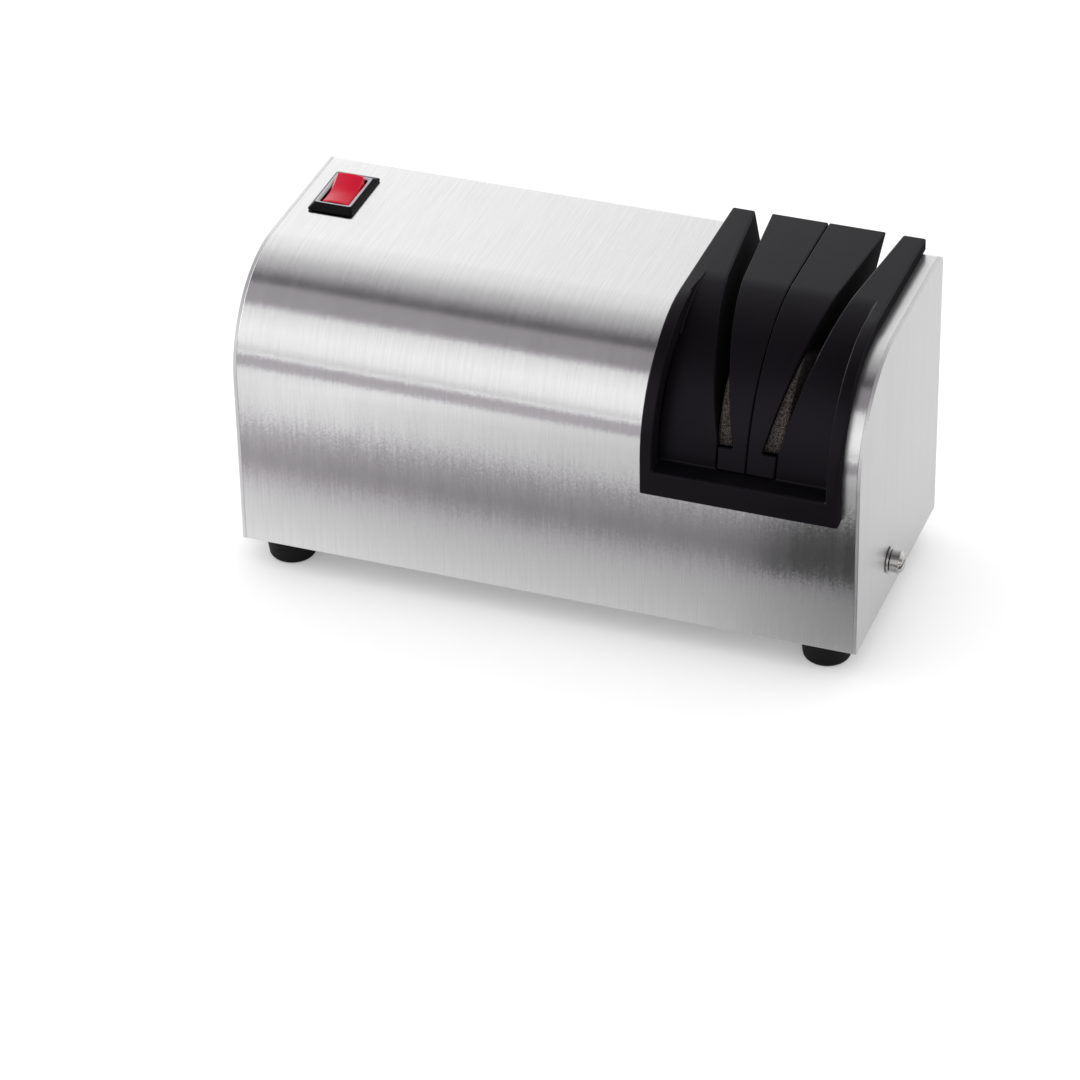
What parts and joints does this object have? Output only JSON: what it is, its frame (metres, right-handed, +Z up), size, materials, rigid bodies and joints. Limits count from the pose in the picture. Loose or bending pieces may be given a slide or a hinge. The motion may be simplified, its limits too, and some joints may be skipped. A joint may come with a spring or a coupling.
{
  "type": "electric knife sharpener",
  "caption": "Countertop electric knife sharpener: bent steel housing, rocker switch, and motor-driven abrasive wheels under a lift-off guide with toed-in blade slots.",
  "frame": {"origin": "on the surface that the feet stand on, under the middle of the bounding box", "axes": "+X along the housing from the switch end to the wheel end, +Y from the front to the back, +Z up"},
  "size_m": [0.2412, 0.108, 0.1224],
  "materials": {
    "brushed_steel": "brushed stainless sheet, satin",
    "zinc_steel": "zinc-plated sheet, dull",
    "screw_steel": "plated machined steel",
    "rubber": "moulded black rubber",
    "black_plastic": "moulded black plastic, fine satin",
    "red_plastic": "moulded red plastic, glossy",
    "nylon": "natural nylon",
    "laminations": "oiled electrical steel",
    "copper_wire": "enamelled copper",
    "bronze": "sintered bronze",
    "brass": "stamped brass",
    "aluminium": "turned and cast aluminium",
    "abrasive": "bonded abrasive grit, matte"
  },
  "bodies": {
    "housing": {"housing_wrap": "brushed_steel", "end_panel_left": "brushed_steel", "end_panel_right": "brushed_steel", "base_plate": "zinc_steel", "cover_screw_left": "screw_steel", "cover_screw_right": "screw_steel", "cover_washer_left": "screw_steel", "cover_washer_right": "screw_steel", "foot_1": "rubber", "foot_2": "rubber", "foot_3": "rubber", "foot_4": "rubber", "foot_screw_1": "screw_steel", "foot_screw_2": "screw_steel", "foot_screw_3": "screw_steel", "foot_screw_4": "screw_steel", "switch_housing": "black_plastic", "switch_terminal_front": "brass", "switch_terminal_rear": "brass", "cord_gland": "black_plastic", "cord_gland_nut": "black_plastic", "terminal_block": "nylon", "stator_core": "laminations", "coil_bobbin": "nylon", "coil_winding": "copper_wire", "bearing_bridge_left": "aluminium", "bearing_bridge_right": "aluminium", "bearing_left": "bronze", "bearing_right": "bronze", "motor_bolt_front": "screw_steel", "motor_bolt_rear": "screw_steel", "motor_nut_front": "screw_steel", "motor_nut_rear": "screw_steel", "motor_bracket_front": "zinc_steel", "motor_bracket_rear": "zinc_steel", "mount_screw_front": "screw_steel", "mount_screw_rear": "screw_steel"},
    "rocker": {"switch_rocker": "red_plastic"},
    "rotor": {"drive_shaft": "screw_steel", "rotor_core": "laminations", "cooling_fan": "nylon", "spacer_sleeve": "aluminium", "wheel_hub_left": "aluminium", "wheel_hub_right": "aluminium", "sharpening_wheel_left": "abrasive", "sharpening_wheel_right": "abrasive", "wheel_spacer": "aluminium", "wheel_washer_left": "screw_steel", "wheel_washer_right": "screw_steel", "wheel_nut": "screw_steel"},
    "guide": {"guide_frame": "black_plastic", "wheel_guard_left": "black_plastic", "wheel_guard_right": "black_plastic", "guard_screw_front_left": "screw_steel", "guard_screw_rear_left": "screw_steel", "guard_screw_front_right": "screw_steel", "guard_screw_rear_right": "screw_steel"}
  },
  "joints": [
    {"name": "rocker_pivot", "type": "hinge", "parent": "housing", "child": "rocker", "pos_m": [-0.0997, 0.0215, 0.1153], "axis": [1, 0, 0], "range_deg": [-24, 0]},
    {"name": "shaft_spin", "type": "hinge", "parent": "housing", "child": "rotor", "pos_m": [0, -0.005, 0.0755], "axis": [1, 0, 0], "continuous": true},
    {"name": "guide_lift", "type": "slide", "parent": "housing", "child": "guide", "axis": [0, 0, 1], "range_m": [0, 0.08]}
  ]
}
